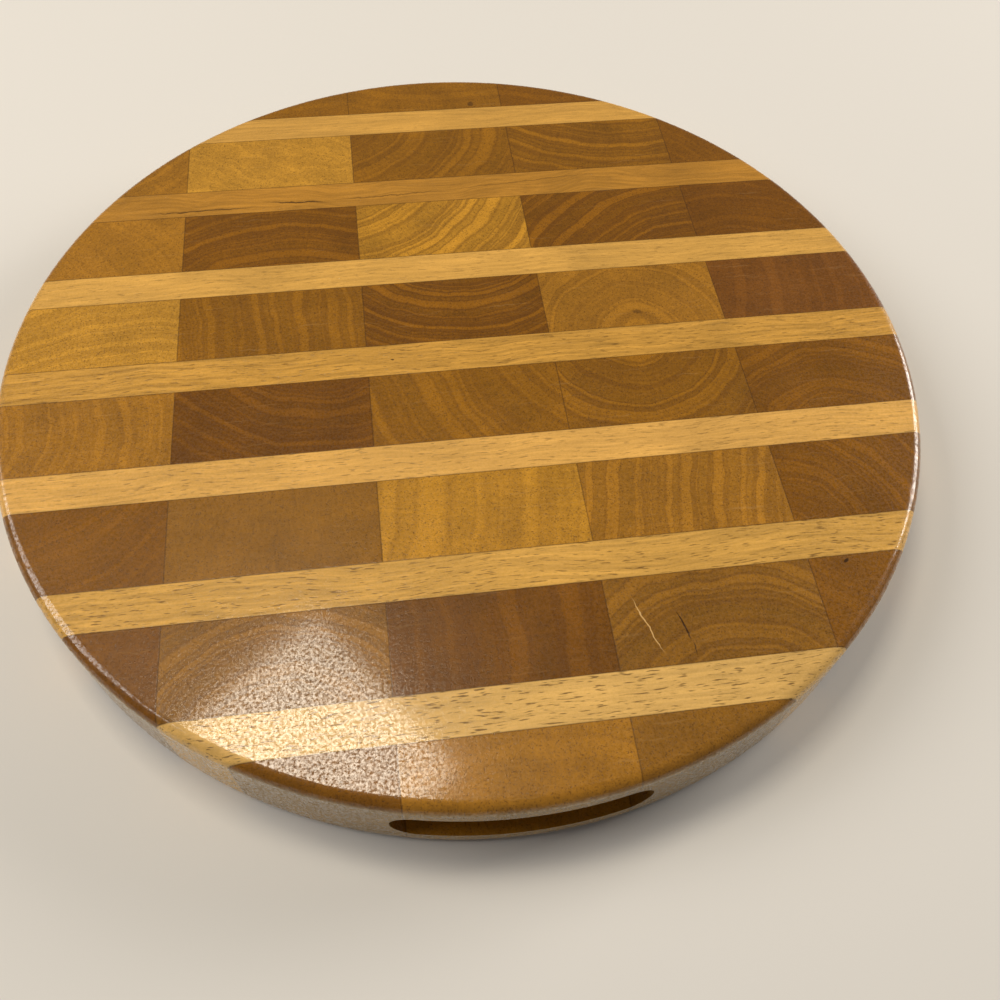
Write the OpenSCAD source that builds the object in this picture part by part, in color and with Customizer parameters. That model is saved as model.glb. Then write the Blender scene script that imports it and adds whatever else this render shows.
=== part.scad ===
// Round end-grain chopping block, in millimetres.
// The origin is the centre of the underside. Strips run along X, the front rim faces -Y.

/* [Board] */
// Diameter of the round board
board_d = 300; // [270:1:360]
// Thickness of the board
board_t = 30; // [26:0.5:45]
// Radius of the rounded edge, above and below
edge_r = 3.5; // [1:0.5:5]

/* [Long-grain strips] */
// Number of strips that cross the board
strip_count = 7; // [3:1:9]
// Width of one strip, front to back
strip_w = 13; // [6:0.5:18]

/* [End-grain blocks] */
// Length of one block along the strips
block_l = 61.6; // [45:0.1:80]
// Sideways place of the middle block's centre
block_shift = -1.6; // [-15:0.1:15]
// Width of the front and back rows, from the last strip to the rim
cap_w = 20.5; // [18:0.5:30]
// Least reach of a block inside the rim: a smaller piece is left on its neighbour
least_reach = 8; // [5:1:15]

/* [Finger grooves] */
// Length of a groove, end to end
groove_l = 71; // [40:1:90]
// Height of a groove, which is the cutter's diameter
groove_h = 15; // [10:0.5:17]
// Depth of a groove at its middle
groove_depth = 12; // [6:0.5:14]
// Sideways place of a groove's middle
groove_shift = -1; // [-15:1:15]

/* [Quality] */
// Facets on a full circle
$fn = 180; // [64:4:256]

/* [Hidden] */
board_r = board_d / 2;
row_count = strip_count + 1;
block_w = (board_d - 2 * cap_w - strip_count * strip_w) / (strip_count - 1);
pitch = strip_w + block_w;
cut_margin = 10;
beyond = board_r + cut_margin;

// How light each block is, row by row from the back: light, mid or dark end grain
row_tones = ["mmm", "mlmmm", "mmldd", "lmdld", "ldmmm", "mdlmm", "mddmm", "mmm"];
light_tone = "#b07f42";
mid_tone = "#96703c";
dark_tone = "#825a2c";
strip_tone = "#c9a468";

// Strips and rows count from the back of the board to the front
function strip_y(strip) = pitch * ((strip_count + 1) / 2 - strip);
function row_back(row) = row == 1 ? beyond : strip_y(row - 1) - strip_w / 2;
function row_front(row) = row == row_count ? -beyond : strip_y(row) + strip_w / 2;

// Half of the rim's chord at a row's widest place, less the least reach of a block
function row_reach(row) =
    let (near = max(0, row_front(row), -row_back(row)))
    sqrt(board_r * board_r - near * near) - least_reach;

// Column 0 is the middle block. A row's last blocks on either side run on to the rim.
function last_column(row) = ceil((row_reach(row) - block_shift) / block_l - 0.5);
function first_column(row) = -ceil((row_reach(row) + block_shift) / block_l - 0.5);
function block_left(row, column) =
    column == first_column(row) ? -beyond : block_shift + (column - 0.5) * block_l;
function block_right(row, column) =
    column == last_column(row) ? beyond : block_shift + (column + 0.5) * block_l;

function strip_name(strip) = str("strip_", strip);
function side_name(column) =
    column == 0 ? "middle" : str(column < 0 ? "left_" : "right_", abs(column));
function block_name(row, column) = str("row_", row, "_", side_name(column));

// A row's middle letter is its middle block's, and blocks past the last letter take that one
function tone_letter(row, column) =
    let (tones = row_tones[(row - 1) % len(row_tones)])
    let (letter = column + (len(tones) - 1) / 2)
    tones[min(max(letter, 0), len(tones) - 1)];
function block_tone(row, column) =
    let (letter = tone_letter(row, column))
    letter == "l" ? light_tone : letter == "m" ? mid_tone : dark_tone;

// Half of the turned board's cross-section, with its two rounded corners
module rim_profile() {
    square([board_r - edge_r, board_t]);
    translate([0, edge_r]) square([board_r, board_t - 2 * edge_r]);
    for (z = [edge_r, board_t - edge_r])
        translate([board_r - edge_r, z]) circle(edge_r);
}

module round_board() {
    rotate_extrude() rim_profile();
}

// One finger groove's cutter: a slot with round ends, routed square to the middle of the rim
module groove_cutter() {
    straight = groove_l - groove_h;
    translate([groove_shift, -board_r + groove_depth, board_t / 2]) rotate([90, 0, 0]) {
        for (side = [-1, 1])
            translate([side * straight / 2, 0, 0])
                cylinder(d = groove_h, h = groove_depth + cut_margin);
        translate([-straight / 2, -groove_h / 2, 0])
            cube([straight, groove_h, groove_depth + cut_margin]);
    }
}

module finger_grooves() {
    groove_cutter();
    mirror([0, 1, 0]) groove_cutter();
}

// What the lathe and the router leave of a sawn piece of the glued slab
module turned(left, right, front, back) {
    difference() {
        intersection() {
            round_board();
            translate([left, front, -cut_margin])
                cube([right - left, back - front, board_t + 2 * cut_margin]);
        }
        finger_grooves();
    }
}

module long_grain_strip(strip) {
    color(strip_tone)
        turned(-beyond, beyond, strip_y(strip) - strip_w / 2, strip_y(strip) + strip_w / 2);
}

module end_grain_block(row, column) {
    color(block_tone(row, column))
        turned(block_left(row, column), block_right(row, column), row_front(row), row_back(row));
}

for (strip = [1 : strip_count])
    long_grain_strip(strip);

for (row = [1 : row_count])
    for (column = [first_column(row) : last_column(row)])
        end_grain_block(row, column);
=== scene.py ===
from math import cos, hypot, radians, sin
import bpy
import bmesh
from mathutils import Matrix, Vector


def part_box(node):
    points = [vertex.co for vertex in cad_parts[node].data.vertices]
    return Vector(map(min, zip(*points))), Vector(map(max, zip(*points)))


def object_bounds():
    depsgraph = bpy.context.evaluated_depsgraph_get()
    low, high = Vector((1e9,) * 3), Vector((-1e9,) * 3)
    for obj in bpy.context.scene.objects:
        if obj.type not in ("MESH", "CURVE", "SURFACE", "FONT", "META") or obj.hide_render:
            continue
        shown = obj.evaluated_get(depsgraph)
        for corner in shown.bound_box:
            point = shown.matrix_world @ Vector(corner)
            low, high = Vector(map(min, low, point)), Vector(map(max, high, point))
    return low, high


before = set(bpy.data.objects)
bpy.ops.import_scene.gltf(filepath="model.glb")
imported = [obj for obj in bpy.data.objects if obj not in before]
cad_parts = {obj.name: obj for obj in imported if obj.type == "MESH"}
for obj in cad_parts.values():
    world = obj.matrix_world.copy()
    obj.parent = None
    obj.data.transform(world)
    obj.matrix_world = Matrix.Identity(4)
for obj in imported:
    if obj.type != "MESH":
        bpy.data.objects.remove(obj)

# The round chopping block, dressed. Sizes here are in millimetres until they reach Blender.

mm = 0.001
boardLow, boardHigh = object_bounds()
boardThick = boardHigh.z - boardLow.z

noiseMiddle = 0.5                  # a noise texture's mean
noiseLow, noiseHigh = 0.3, 0.7     # nearly all of its values lie between these
colourMix = {"output": 2, "data_type": "RGBA"}     # a Mix node for colours: factor 0, colours 6 and 7


def colourOf(hexCode):
    # sRGB hex to the linear colour that Blender's sockets hold
    parts = [int(hexCode[i:i + 2], 16) / 255 for i in (1, 3, 5)]
    return [p / 12.92 if p <= 0.04045 else ((p + 0.055) / 1.055) ** 2.4 for p in parts] + [1.0]


def addNode(tree, kind, inputs, output=0, **settings):
    # adds one node with its settings and links, and gives the output asked for
    made = tree.nodes.new("ShaderNode" + kind)
    for name, value in settings.items():
        setattr(made, name, value)
    for place, value in inputs.items():
        if isinstance(value, bpy.types.NodeSocket):
            tree.links.new(value, made.inputs[place])
        else:
            made.inputs[place].default_value = value
    return made.outputs[output]


def newMaterial(name):
    material = bpy.data.materials.new(name)
    material.use_nodes = True
    material.node_tree.nodes.clear()
    return material, material.node_tree


# The camera stands where the photograph was taken from. Angles are in degrees, and aim is the point of
# the top face that it looks at.
view = {
    "lens": 34.7, "sensor": 36.0, "clipStart": 10,
    "turn": 10.3, "tilt": 57.5, "roll": 3.3,
    "aim": (3.9, -58.3), "distance": 289.7,
}


def addCamera():
    turn, tilt, roll = (radians(view[k]) for k in ("turn", "tilt", "roll"))
    forward = Vector((sin(turn) * cos(tilt), cos(turn) * cos(tilt), -sin(tilt)))
    level = Vector((cos(turn), -sin(turn), 0))
    upright = level.cross(forward)
    right = level * cos(roll) + upright * sin(roll)
    up = upright * cos(roll) - level * sin(roll)
    place = Vector((view["aim"][0], view["aim"][1], 0)) * mm - forward * view["distance"] * mm
    place.z += boardThick
    data = bpy.data.cameras.new("camera")
    data.lens = view["lens"]
    data.sensor_width = view["sensor"]
    data.clip_start = view["clipStart"] * mm
    camera = bpy.data.objects.new("camera", data)
    camera.matrix_world = Matrix.Translation(place) @ Matrix((right, up, -forward)).transposed().to_4x4()
    bpy.context.collection.objects.link(camera)
    bpy.context.scene.camera = camera
    print("camera stands at", [round(v, 3) for v in place])


# The key softbox stands high behind the board, so that its image lies on the near left, where the
# photograph's glare is. The two at the sides are out of the top face's mirror. The floor's side is in
# metres.
studio = {
    "worldColour": "#eef0f2", "worldStrength": 0.15,
    "floorColour": "#dedcd7", "floorRoughness": 0.9, "floorSpecular": 0.2, "floorSide": 6.0,
    "softboxes": [
        {"name": "keySoftbox", "place": (-215, 262, 1250), "width": 330, "length": 330, "watts": 5.3,
         "colour": "#fff2dc"},
        {"name": "leftSoftbox", "place": (-1150, 250, 1050), "width": 900, "length": 900, "watts": 15.0,
         "colour": "#fff7ee"},
        {"name": "rightSoftbox", "place": (1350, 450, 560), "width": 700, "length": 700, "watts": 17.0,
         "colour": "#fff7ee"},
    ],
}


def addLamps():
    scene = bpy.context.scene
    scene.view_settings.view_transform = "Standard"
    world = bpy.data.worlds.new("studio")
    scene.world = world
    world.use_nodes = True
    sky = world.node_tree.nodes["Background"]
    sky.inputs["Color"].default_value = colourOf(studio["worldColour"])
    sky.inputs["Strength"].default_value = studio["worldStrength"]
    for box in studio["softboxes"]:
        data = bpy.data.lights.new(box["name"], "AREA")
        data.shape = "RECTANGLE"
        data.size = box["width"] * mm
        data.size_y = box["length"] * mm
        data.energy = box["watts"]
        data.color = colourOf(box["colour"])[:3]
        lamp = bpy.data.objects.new(box["name"], data)
        lamp.location = Vector(box["place"]) * mm
        lamp.rotation_euler = lamp.location.to_track_quat("Z", "Y").to_euler()
        bpy.context.collection.objects.link(lamp)
    print("lit with", len(studio["softboxes"]), "softboxes")


def addFloor():
    # painted floor: matt, so it gives the eye nothing but a pale even ground
    material, tree = newMaterial("mattFloorPaint")
    shader = addNode(tree, "BsdfPrincipled", {
        "Base Color": colourOf(studio["floorColour"]), "Roughness": studio["floorRoughness"],
        "Specular IOR Level": studio["floorSpecular"]})
    tree.links.new(shader, tree.nodes.new("ShaderNodeOutputMaterial").inputs["Surface"])
    shape = bmesh.new()
    bmesh.ops.create_grid(shape, x_segments=1, y_segments=1, size=studio["floorSide"] / 2)
    mesh = bpy.data.meshes.new("floor")
    shape.to_mesh(mesh)
    shape.free()
    mesh.materials.append(material)
    floor = bpy.data.objects.new("floor", mesh)
    floor.location.z = boardLow.z
    bpy.context.collection.objects.link(floor)
    print("floor is laid")


# Rubberwood end grain, from the palest blocks to the darkest
tones = {
    "pale": "#bf8b2e", "golden": "#b98425", "honey": "#a3701d", "brown": "#90600f",
    "umber": "#835408", "dark": "#774a06", "plum": "#7a4b12", "dusty": "#8d6018",
}

# Each block as its end was sawn from the log. Pith is the centre of its rings, which mostly lies
# outside it; spacing is the mean distance between dark rings, and rings is how strongly they show.
# A mark is a stroke at a place on the board, turned in degrees. Its depth is how strongly it shows:
# dark above 0, and pale as a scratch below 0.
blockLooks = {
    "row_1_left_1": {"tone": "brown", "pith": (-60, 250), "spacing": 6, "rings": 0.25},
    "row_1_middle": {"tone": "brown", "pith": (10, 230), "spacing": 6, "rings": 0.3,
                     "marks": [{"at": (17, 132), "length": 4, "width": 3, "turn": 60, "depth": 0.6}]},
    "row_1_right_1": {"tone": "umber", "pith": (60, 210), "spacing": 5, "rings": 0.35},
    "row_2_left_2": {"tone": "honey", "pith": (-150, 150), "spacing": 7, "rings": 0.35},
    "row_2_left_1": {"tone": "pale", "pith": (-20, 190), "spacing": 5, "rings": 0.25, "curl": 1.0},
    "row_2_middle": {"tone": "brown", "pith": (-45, 130), "spacing": 9, "rings": 0.6},
    "row_2_right_1": {"tone": "brown", "pith": (78, 178), "spacing": 8, "rings": 0.8},
    "row_2_right_2": {"tone": "umber", "pith": (60, 60), "spacing": 5, "rings": 0.3},
    "row_3_left_2": {"tone": "honey", "pith": (-150, 30), "spacing": 8, "rings": 0.2},
    "row_3_left_1": {"tone": "umber", "pith": (-58, 0), "spacing": 7, "rings": 0.75},
    "row_3_middle": {"tone": "golden", "pith": (-38, 98), "spacing": 8, "rings": 0.8},
    "row_3_right_1": {"tone": "umber", "pith": (94, 8), "spacing": 5, "rings": 0.85},
    "row_3_right_2": {"tone": "dark", "pith": (104, 10), "spacing": 6, "rings": 0.4},
    "row_4_left_2": {"tone": "pale", "pith": (-110, -60), "spacing": 4, "rings": 0.35},
    "row_4_left_1": {"tone": "brown", "pith": (-190, 10), "spacing": 5, "rings": 0.5},
    "row_4_middle": {"tone": "umber", "pith": (2, 64), "spacing": 5.5, "rings": 1.0},
    "row_4_right_1": {"tone": "honey", "pith": (60, 3), "spacing": 8, "rings": 0.5,
                      "marks": [{"at": (61, 13), "length": 5, "width": 1.6, "turn": -15, "depth": 0.5}]},
    "row_4_right_2": {"tone": "plum", "pith": (20, 30), "spacing": 6, "rings": 0.35},
    "row_5_left_2": {"tone": "honey", "pith": (-170, -20), "spacing": 4, "rings": 0.35},
    "row_5_left_1": {"tone": "dark", "pith": (-46, 26), "spacing": 6, "rings": 0.7},
    "row_5_middle": {"tone": "brown", "pith": (52, 6), "spacing": 9, "rings": 0.5},
    "row_5_right_1": {"tone": "brown", "pith": (56, 4), "spacing": 8, "rings": 0.8},
    "row_5_right_2": {"tone": "umber", "pith": (118, -52), "spacing": 6, "rings": 0.6},
    "row_6_left_2": {"tone": "umber", "pith": (-140, -20), "spacing": 6, "rings": 0.35},
    "row_6_left_1": {"tone": "dusty", "pith": (-60, 80), "spacing": 12, "rings": 0.12},
    "row_6_middle": {"tone": "golden", "pith": (-130, -40), "spacing": 15, "rings": 0.35},
    "row_6_right_1": {"tone": "honey", "pith": (190, -90), "spacing": 4.5, "rings": 0.55},
    "row_6_right_2": {"tone": "umber", "pith": (86, -82), "spacing": 6, "rings": 0.65},
    "row_7_left_2": {"tone": "dark", "pith": (-150, -60), "spacing": 7, "rings": 0.25},
    "row_7_left_1": {"tone": "dusty", "pith": (-62, -130), "spacing": 5.5, "rings": 0.7},
    "row_7_middle": {"tone": "dark", "pith": (-120, -104), "spacing": 9, "rings": 0.55},
    "row_7_right_1": {"tone": "dusty", "pith": (62, -140), "spacing": 7, "rings": 0.7, "marks": [
        {"at": (39.5, -104), "length": 21, "width": 0.55, "turn": -71, "depth": -0.9},
        {"at": (49.5, -105), "length": 11, "width": 0.7, "turn": -76, "depth": 1.0},
        {"at": (51.5, -112), "length": 5, "width": 0.4, "turn": -84, "depth": 0.8}]},
    "row_7_right_2": {"tone": "umber", "pith": (130, -60), "spacing": 7, "rings": 0.3,
                      "marks": [{"at": (102, -90.5), "length": 2.4, "width": 1.4, "turn": 30, "depth": 1.0}]},
    "row_8_left_1": {"tone": "umber", "pith": (-50, -220), "spacing": 6, "rings": 0.2},
    "row_8_middle": {"tone": "honey", "pith": (0, -230), "spacing": 7, "rings": 0.2},
    "row_8_right_1": {"tone": "dusty", "pith": (60, -220), "spacing": 7, "rings": 0.2},
}

# Long-grain rubberwood: streaks run along the strip, pores show as short dark dashes, and wave is how
# far the grain swings
stripLooks = {
    "strip_1": {"tone": "#cb9a48", "streaks": 0.9, "pores": 0.35},
    "strip_2": {"tone": "#b17d2c", "streaks": 1.1, "pores": 0.3, "wave": 1.0, "marks": [
        {"at": (-88, 78.2), "length": 44, "width": 0.9, "turn": 1, "depth": 0.7},
        {"at": (-54, 79.8), "length": 26, "width": 1.0, "turn": -4, "depth": 0.8},
        {"at": (-20, 80.4), "length": 50, "width": 0.8, "turn": 2, "depth": 0.5},
        {"at": (30, 83.5), "length": 64, "width": 0.9, "turn": 4, "depth": 0.35}]},
    "strip_3": {"tone": "#d2a14e", "streaks": 0.9, "pores": 0.6},
    "strip_4": {"tone": "#c69440", "streaks": 1.4, "pores": 0.9,
                "marks": [{"at": (-24, 0), "length": 1.4, "width": 1.0, "turn": 0, "depth": 0.9}]},
    "strip_5": {"tone": "#d8a655", "streaks": 0.9, "pores": 0.8},
    "strip_6": {"tone": "#cf9f4c", "streaks": 1.2, "pores": 1.1},
    "strip_7": {"tone": "#d6ab60", "streaks": 0.8, "pores": 1.3},
}

# the side shade is the rims' paler, greyer long grain, and partly a painted reflection of the floor in their
# lacquer
shades = {
    "ring": "#4f2c09", "pore": "#432507", "side": "#a78a56", "dark": "#3c2408", "scratch": "#d9b070",
}


def boardPosition(tree):
    # where a point lies on the board, in millimetres
    place = addNode(tree, "TexCoord", {}, output="Object")
    return addNode(tree, "VectorMath", {0: place, "Scale": 1 / mm}, operation="SCALE")


def wandered(tree, position, size, detail, reach):
    # the position pushed about by a soft noise of this size; reach is the push along each axis
    push = addNode(tree, "TexNoise", {"Vector": position, "Scale": 1 / size, "Detail": detail},
                   output="Color")
    centred = addNode(tree, "VectorMath", {0: push, 1: (noiseMiddle,) * 3}, operation="SUBTRACT")
    spread = addNode(tree, "VectorMath", {0: centred, 1: reach}, operation="MULTIPLY")
    return addNode(tree, "VectorMath", {0: position, 1: spread}, operation="ADD")


def edgeDistance(tree, position, cell):
    # how far a point lies inside its own joints, in millimetres
    parts = addNode(tree, "SeparateXYZ", {0: position}, output="X").node.outputs
    gaps = []
    for axis, (low, high) in zip("XY", cell):
        fromMiddle = addNode(tree, "Math", {0: parts[axis], 1: (low + high) / 2}, operation="SUBTRACT")
        away = addNode(tree, "Math", {0: fromMiddle}, operation="ABSOLUTE")
        gaps.append(addNode(tree, "Math", {0: (high - low) / 2, 1: away}, operation="SUBTRACT"))
    return addNode(tree, "Math", {0: gaps[0], 1: gaps[1]}, operation="MINIMUM")


# Clear lacquer over the wood: it gives the eye a crisp gloss where the film is whole, and a dull one in
# the small flecks where use has broken it. Each cut is the pair of noise values that it fades between.
lacquer = {
    "ior": 1.5, "specular": 0.25, "filmRoughness": 0.09,
    "fleckSize": 0.909, "fleckCut": (0.46, 0.56), "fleckRoughness": 0.4,
    "filmCut": (0.44, 0.58), "filmWhole": 0.9, "filmBroken": 0.02,
    "wearSize": 22.2, "wearCut": (0.35, 0.7), "wearRoughness": (0.1, 0.2),
    "rippleSize": 1.3, "bumpDepth": 0.12, "bumpStrength": 0.5, "poreSink": 0.35, "glueSink": 0.5,
    "glueLine": (0.05, 0.3), "glueStrength": 0.55,
    "wobbleSize": 4, "wobble": 2.2,
    "markCore": 0.55, "markThrough": 1000,         # a mark runs right through the board
    "scratchLength": 20, "scratchWidth": 0.625, "scratchCut": (0.71, 0.76),
    "scratchSlants": ((25, 0.0), (-62, 40.0)),     # degrees, and a step aside so that the two sets differ
    "scratchTint": 0.07, "scratchRoughness": 0.15,
}


def markMask(tree, position, mark):
    # a short stroke: a scratch, a crack or a knot's speck, solid at its core and faded to its edge
    local = addNode(tree, "Mapping", {
        "Vector": position, "Location": (*mark["at"], 0), "Rotation": (0, 0, radians(mark["turn"])),
        "Scale": (mark["length"] / 2, mark["width"] / 2, lacquer["markThrough"])}, vector_type="TEXTURE")
    size = addNode(tree, "VectorMath", {0: local}, output="Value", operation="LENGTH")
    return addNode(tree, "MapRange", {"Value": size, "From Min": lacquer["markCore"], "From Max": 1.0,
                                      "To Min": 1.0, "To Max": 0.0}, interpolation_type="SMOOTHSTEP")


def scratchMask(tree, position):
    # fine knife scratches: long thin cells at two slants
    sets = []
    for turn, aside in lacquer["scratchSlants"]:
        run = 1 / lacquer["scratchLength"]
        along = addNode(tree, "Mapping", {
            "Vector": position, "Location": (aside, 0, 0), "Rotation": (0, 0, radians(turn)),
            "Scale": (run, 1 / lacquer["scratchWidth"], run)})
        cells = addNode(tree, "TexNoise", {"Vector": along, "Scale": 1.0, "Detail": 1.0})
        sets.append(addNode(tree, "MapRange", {"Value": cells, "From Min": lacquer["scratchCut"][0],
                                               "From Max": lacquer["scratchCut"][1]}))
    return addNode(tree, "Math", {0: sets[0], 1: sets[1]}, operation="MAXIMUM")


def lacquered(tree, position, colour, pores, look, cell):
    # glue lines, marks and scratches go under the lacquer; its ripple breaks up reflections
    inside = edgeDistance(tree, position, cell)
    glue = addNode(tree, "MapRange", {
        "Value": inside, "From Min": lacquer["glueLine"][0], "From Max": lacquer["glueLine"][1],
        "To Min": lacquer["glueStrength"], "To Max": 0.0})
    colour = addNode(tree, "Mix", {0: glue, 6: colour, 7: colourOf(shades["dark"])}, **colourMix)
    bent = wandered(tree, position, lacquer["wobbleSize"], 2.0, (lacquer["wobble"],) * 3)
    for mark in look.get("marks", []):
        mask = markMask(tree, bent, mark)
        shade = colourOf(shades["dark"] if mark["depth"] > 0 else shades["scratch"])
        strength = addNode(tree, "Math", {0: mask, 1: abs(mark["depth"])}, operation="MULTIPLY")
        colour = addNode(tree, "Mix", {0: strength, 6: colour, 7: shade}, **colourMix)
    scratches = scratchMask(tree, bent)
    faint = addNode(tree, "Math", {0: scratches, 1: lacquer["scratchTint"]}, operation="MULTIPLY")
    colour = addNode(tree, "Mix", {0: faint, 6: colour, 7: colourOf(shades["scratch"])}, **colourMix)
    # roughness: patches of wear, flecks of broken film, and the scratches
    patches = addNode(tree, "TexNoise", {"Vector": position, "Scale": 1 / lacquer["wearSize"], "Detail": 5.0})
    worn = addNode(tree, "MapRange", {
        "Value": patches, "From Min": lacquer["wearCut"][0], "From Max": lacquer["wearCut"][1],
        "To Min": lacquer["wearRoughness"][0], "To Max": lacquer["wearRoughness"][1]})
    flecks = addNode(tree, "TexNoise", {"Vector": position, "Scale": 1 / lacquer["fleckSize"],
                                        "Detail": 5.0, "Roughness": 0.8})
    rubbed = addNode(tree, "MapRange", {
        "Value": flecks, "From Min": lacquer["fleckCut"][0], "From Max": lacquer["fleckCut"][1],
        "To Min": 0.0, "To Max": lacquer["fleckRoughness"]})
    dull = addNode(tree, "Math", {0: worn, 1: rubbed}, operation="ADD")
    rough = addNode(tree, "Math", {0: scratches, 1: lacquer["scratchRoughness"], 2: dull},
                    operation="MULTIPLY_ADD")
    film = addNode(tree, "MapRange", {
        "Value": flecks, "From Min": lacquer["filmCut"][0], "From Max": lacquer["filmCut"][1],
        "To Min": lacquer["filmWhole"], "To Max": lacquer["filmBroken"]})
    # relief: the film's ripple, sunk at pores and at glue lines
    ripple = addNode(tree, "TexNoise", {"Vector": position, "Scale": 1 / lacquer["rippleSize"],
                                        "Detail": 4.0, "Roughness": 0.65})
    sunk = addNode(tree, "Math", {0: pores, 1: -lacquer["poreSink"], 2: ripple}, operation="MULTIPLY_ADD")
    seam = addNode(tree, "Math", {0: glue, 1: -lacquer["glueSink"], 2: sunk}, operation="MULTIPLY_ADD")
    normal = addNode(tree, "Bump", {"Height": seam, "Strength": lacquer["bumpStrength"],
                                    "Distance": lacquer["bumpDepth"] * mm})
    shader = addNode(tree, "BsdfPrincipled", {
        "Base Color": colour, "Roughness": rough, "Normal": normal, "IOR": lacquer["ior"],
        "Specular IOR Level": lacquer["specular"], "Coat Weight": film,
        "Coat Roughness": lacquer["filmRoughness"], "Coat IOR": lacquer["ior"]})
    tree.links.new(shader, tree.nodes.new("ShaderNodeOutputMaterial").inputs["Surface"])


endGrain = {
    "wanderSize": 20, "wander": 7.0, "curl": 16.0,     # how far rings stray, and more where curly
    "lean": 0.08,                                      # a leaning trunk: rings shift with depth
    "lineHalf": 0.085, "lineStrength": 0.48,           # the thin dark line that ends a season
    "bandCut": (0.36, 0.64), "bandStrength": 0.42,     # the broad light and dark of seasons
    "mottleSize": 16.67, "mottle": (0.84, 1.14),
    "gritSize": 1.43, "grit": (0.86, 1.12),
    "rayWidth": 0.6, "raySpread": 0.8, "rayMargin": 10, "rayTone": 0.06,
    "poreWidth": 0.45, "poreStretch": 0.1, "poreCut": (0.56, 0.72), "poreStrength": 0.62,
    # the side shade, partly painted reflection, is laid at this strength on upright faces
    "sideCut": (0.1, 0.5), "sideStrength": 0.8,        # a side below the first upward share, an end above
}


def endGrainMaterial(name, look, cell):
    # rubberwood end grain under lacquer: growth rings, fine rays that cross them, and open pores
    material, tree = newMaterial("rubberwoodEndGrain_" + name)
    position = boardPosition(tree)
    stray = endGrain["wander"] + endGrain["curl"] * look.get("curl", 0.0)
    bent = wandered(tree, position, endGrain["wanderSize"], 3.0, (stray,) * 3)
    pithX, pithY = look["pith"]
    fromPith = addNode(tree, "Mapping", {"Vector": bent, "Location": (-pithX, -pithY, 0),
                                         "Scale": (1, 1, endGrain["lean"])})
    # rings: uneven seasons, counted out from the pith
    radius = addNode(tree, "VectorMath", {0: fromPith}, output="Value", operation="LENGTH")
    count = addNode(tree, "Math", {0: radius, 1: look["spacing"]}, operation="DIVIDE")
    season = addNode(tree, "TexNoise", {"W": count, "Scale": 1.0, "Detail": 2.5, "Roughness": 0.6},
                     noise_dimensions="1D")
    offset = addNode(tree, "Math", {0: season, 1: noiseMiddle}, operation="SUBTRACT")
    nearLine = addNode(tree, "Math", {0: offset}, operation="ABSOLUTE")
    line = addNode(tree, "MapRange", {"Value": nearLine, "From Min": 0.0, "From Max": endGrain["lineHalf"],
                                      "To Min": 1.0, "To Max": 0.0}, interpolation_type="SMOOTHSTEP")
    band = addNode(tree, "MapRange", {
        "Value": season, "From Min": endGrain["bandCut"][0], "From Max": endGrain["bandCut"][1],
        "To Min": -0.5, "To Max": 0.5})
    # ground: mottling a centimetre or two across, and grit about a millimetre across
    mottle = addNode(tree, "TexNoise", {"Vector": position, "Scale": 1 / endGrain["mottleSize"],
                                        "Detail": 5.0, "Roughness": 0.6})
    patch = addNode(tree, "MapRange", {"Value": mottle, "From Min": noiseLow, "From Max": noiseHigh,
                                       "To Min": endGrain["mottle"][0], "To Max": endGrain["mottle"][1]})
    grit = addNode(tree, "TexNoise", {"Vector": position, "Scale": 1 / endGrain["gritSize"],
                                      "Detail": 3.0, "Roughness": 0.7})
    grain = addNode(tree, "MapRange", {"Value": grit, "From Min": noiseLow, "From Max": noiseHigh,
                                       "To Min": endGrain["grit"][0], "To Max": endGrain["grit"][1]})
    ground = addNode(tree, "Math", {0: patch, 1: grain}, operation="MULTIPLY")
    bands = addNode(tree, "Math", {0: band, 1: endGrain["bandStrength"] * look["rings"], 2: ground},
                    operation="MULTIPLY_ADD")
    # rays: thin spokes from the pith, of their real width at the block's middle
    flat = addNode(tree, "SeparateXYZ", {0: fromPith}, output="X").node.outputs
    spoke = addNode(tree, "Math", {0: flat["Y"], 1: flat["X"]}, operation="ARCTAN2")
    reach = hypot(pithX - sum(cell[0]) / 2, pithY - sum(cell[1]) / 2) + endGrain["rayMargin"]
    spokes = addNode(tree, "Math", {0: spoke, 1: reach / endGrain["rayWidth"]}, operation="MULTIPLY")
    rayPlace = addNode(tree, "CombineXYZ", {"X": spokes, "Y": count})
    rays = addNode(tree, "TexNoise", {"Vector": rayPlace, "Scale": endGrain["raySpread"], "Detail": 1.0})
    rayTone = addNode(tree, "MapRange", {"Value": rays, "From Min": noiseLow, "From Max": noiseHigh,
                                         "To Min": -endGrain["rayTone"], "To Max": endGrain["rayTone"]})
    level = addNode(tree, "Math", {0: bands, 1: rayTone}, operation="ADD")
    # pores run along the trunk, so they are dots on top and fine lines on the rim
    along = addNode(tree, "VectorMath", {0: position, 1: (1, 1, endGrain["poreStretch"])},
                    operation="MULTIPLY")
    holes = addNode(tree, "TexNoise", {"Vector": along, "Scale": 1 / endGrain["poreWidth"], "Detail": 1.5})
    pores = addNode(tree, "MapRange", {"Value": holes, "From Min": endGrain["poreCut"][0],
                                       "From Max": endGrain["poreCut"][1]})
    colour = addNode(tree, "Mix", {0: 1.0, 6: colourOf(tones[look["tone"]]), 7: level},
                     blend_type="MULTIPLY", **colourMix)
    ringStrength = addNode(tree, "Math", {0: line, 1: endGrain["lineStrength"] * look["rings"]},
                           operation="MULTIPLY")
    colour = addNode(tree, "Mix", {0: ringStrength, 6: colour, 7: colourOf(shades["ring"])}, **colourMix)
    poreStrength = addNode(tree, "Math", {0: pores, 1: endGrain["poreStrength"]}, operation="MULTIPLY")
    colour = addNode(tree, "Mix", {0: poreStrength, 6: colour, 7: colourOf(shades["pore"])}, **colourMix)
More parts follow.
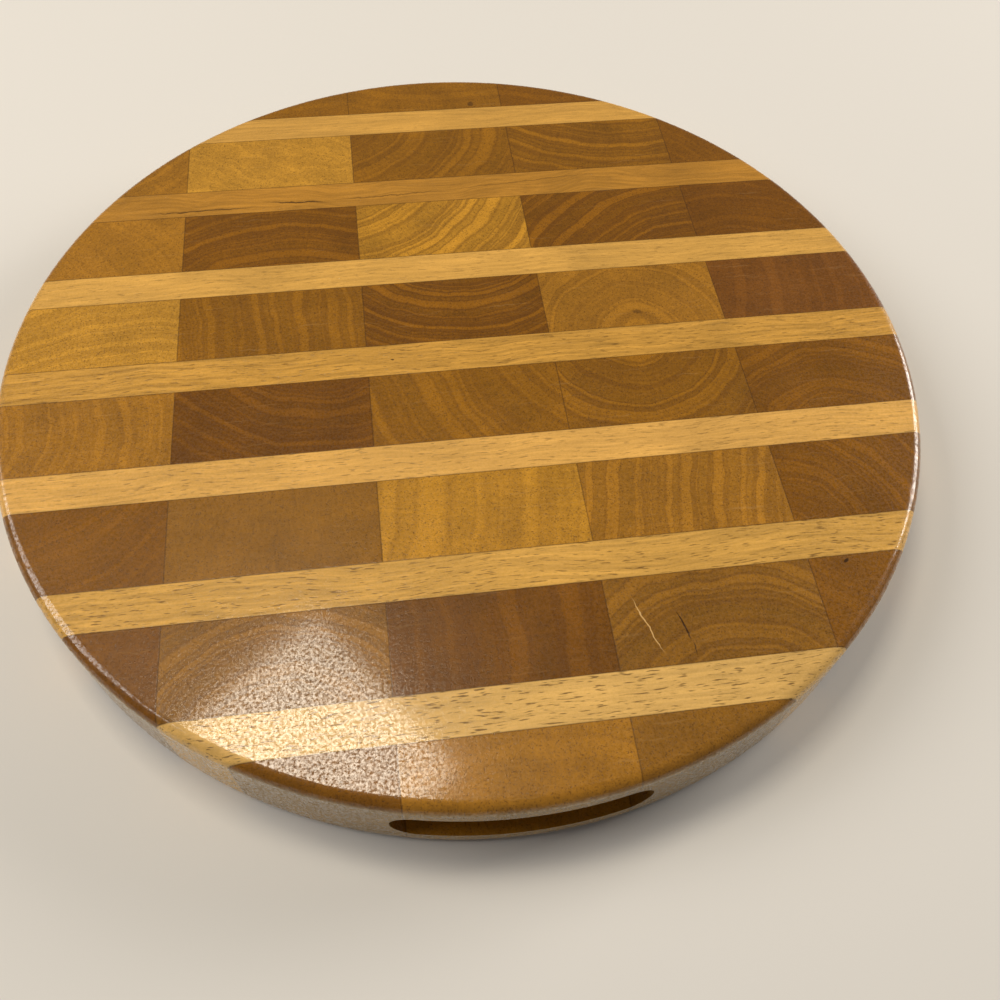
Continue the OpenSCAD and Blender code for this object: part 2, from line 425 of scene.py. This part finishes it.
    # the rim shows the blocks along their grain, paler and greyer than their ends; that pale grey is also a
    # painted reflection of the floor in the rim's lacquer
    facing = addNode(tree, "TexCoord", {}, output="Normal")
    upward = addNode(tree, "SeparateXYZ", {0: facing}, output="Z")
    tilt = addNode(tree, "Math", {0: upward}, operation="ABSOLUTE")
    side = addNode(tree, "MapRange", {
        "Value": tilt, "From Min": endGrain["sideCut"][0], "From Max": endGrain["sideCut"][1],
        "To Min": endGrain["sideStrength"], "To Max": 0.0})
    sideColour = addNode(tree, "Mix", {0: 1.0, 6: colourOf(shades["side"]), 7: ground},
                         blend_type="MULTIPLY", **colourMix)
    colour = addNode(tree, "Mix", {0: side, 6: colour, 7: sideColour}, **colourMix)
    lacquered(tree, position, colour, pores, look, cell)
    return material


longGrain = {
    "wanderSize": 50, "wander": 8, "wave": 14,         # how far the grain swings, and more where wavy
    "streakRun": 33.3, "streakWidth": 1.176, "streakDark": 0.24, "streakPale": 0.2,
    "mottleSize": 33.3, "mottle": (0.88, 1.1),
    "poreRun": 4.0, "poreWidth": 0.45, "poreCut": (0.6, 0.7), "poreStrength": 0.55,
}


def longGrainMaterial(name, look, cell):
    # pale rubberwood along its grain, under lacquer: streaks and dash-shaped pores that run with X
    material, tree = newMaterial("rubberwoodLongGrain_" + name)
    position = boardPosition(tree)
    swing = longGrain["wander"] + longGrain["wave"] * look.get("wave", 0.0)
    bent = wandered(tree, position, longGrain["wanderSize"], 2.0, (0, swing, longGrain["wander"]))
    across = 1 / longGrain["streakWidth"]
    drawn = addNode(tree, "VectorMath", {0: bent, 1: (1 / longGrain["streakRun"], across, across)},
                    operation="MULTIPLY")
    streak = addNode(tree, "TexNoise", {"Vector": drawn, "Scale": 1.0, "Detail": 5.0, "Roughness": 0.65})
    streaks = addNode(tree, "MapRange", {
        "Value": streak, "From Min": noiseLow, "From Max": noiseHigh,
        "To Min": 1 - longGrain["streakDark"] * look["streaks"],
        "To Max": 1 + longGrain["streakPale"] * look["streaks"]})
    mottle = addNode(tree, "TexNoise", {"Vector": position, "Scale": 1 / longGrain["mottleSize"],
                                        "Detail": 3.0})
    patch = addNode(tree, "MapRange", {"Value": mottle, "From Min": noiseLow, "From Max": noiseHigh,
                                       "To Min": longGrain["mottle"][0], "To Max": longGrain["mottle"][1]})
    level = addNode(tree, "Math", {0: streaks, 1: patch}, operation="MULTIPLY")
    thin = 1 / longGrain["poreWidth"]
    dash = addNode(tree, "VectorMath", {0: bent, 1: (1 / longGrain["poreRun"], thin, thin)},
                   operation="MULTIPLY")
    holes = addNode(tree, "TexNoise", {"Vector": dash, "Scale": 1.0, "Detail": 1.0})
    pores = addNode(tree, "MapRange", {"Value": holes, "From Min": longGrain["poreCut"][0],
                                       "From Max": longGrain["poreCut"][1]})
    colour = addNode(tree, "Mix", {0: 1.0, 6: colourOf(look["tone"]), 7: level},
                     blend_type="MULTIPLY", **colourMix)
    poreStrength = addNode(tree, "Math", {0: pores, 1: longGrain["poreStrength"] * look["pores"]},
                           operation="MULTIPLY")
    colour = addNode(tree, "Mix", {0: poreStrength, 6: colour, 7: colourOf(shades["pore"])}, **colourMix)
    lacquered(tree, position, colour, pores, look, cell)
    return material


pastRim = 60.0     # a side at the rim has no joint, so its line is put this far out


def jointsOf(name):
    # a piece's joints with its neighbours, in millimetres
    low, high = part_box(name)
    cell = [[low.x / mm, high.x / mm], [low.y / mm, high.y / mm]]
    if name.startswith("strip"):
        return [[cell[0][0] - pastRim, cell[0][1] + pastRim], cell[1]]
    row = name[:len("row_1_")]
    mates = [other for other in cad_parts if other.startswith(row)]
    if low.x <= min(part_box(mate)[0].x for mate in mates):
        cell[0][0] -= pastRim
    if high.x >= max(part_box(mate)[1].x for mate in mates):
        cell[0][1] += pastRim
    if row == "row_1_":
        cell[1][1] += pastRim
    if row == "row_8_":
        cell[1][0] -= pastRim
    return cell


def dressBoard():
    for name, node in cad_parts.items():
        cell = jointsOf(name)
        if name in stripLooks:
            material = longGrainMaterial(name, stripLooks[name], cell)
        else:
            material = endGrainMaterial(name, blockLooks[name], cell)
        node.data.materials.clear()
        node.data.materials.append(material)
    print("dressed", len(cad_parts), "pieces")


addCamera()
addLamps()
addFloor()
dressBoard()
